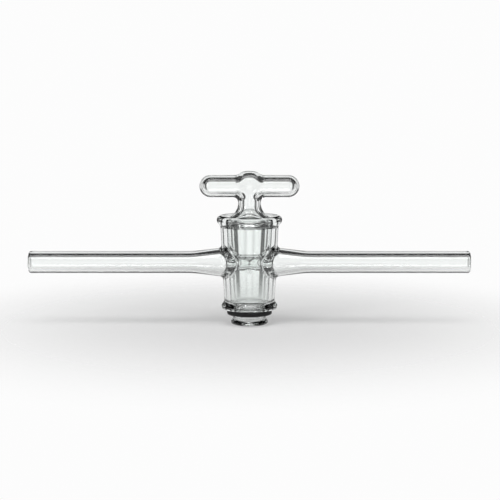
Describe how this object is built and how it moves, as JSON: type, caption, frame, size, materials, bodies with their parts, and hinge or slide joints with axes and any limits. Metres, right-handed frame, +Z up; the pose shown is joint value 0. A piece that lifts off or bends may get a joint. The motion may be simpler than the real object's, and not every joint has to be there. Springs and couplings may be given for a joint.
{
  "type": "glass stopcock",
  "caption": "Two-way straight-bore glass stopcock: a tapered barrel between two long tube arms, with a hollow T-handled glass plug held by a rubber ring.",
  "frame": {"origin": "where the axis of the plug crosses the axis of the flow passage", "axes": "+Z up along the plug towards its handle, +X along the flow passage towards the right arm, -Y towards the viewer"},
  "size_m": [0.2, 0.0296, 0.0698],
  "materials": {
    "barrel_glass": "clear blown glass with a ground inner taper",
    "plug_glass": "clear blown glass with a finely ground taper",
    "ring_rubber": "black rubber, dull"
  },
  "bodies": {
    "barrel": {"barrel": "barrel_glass"},
    "plug": {"plug": "plug_glass", "retaining_ring": "ring_rubber"}
  },
  "joints": [
    {"name": "plug_turn", "type": "hinge", "parent": "barrel", "child": "plug", "pos_m": [0, 0, 0], "axis": [0, 0, 1], "continuous": true}
  ]
}
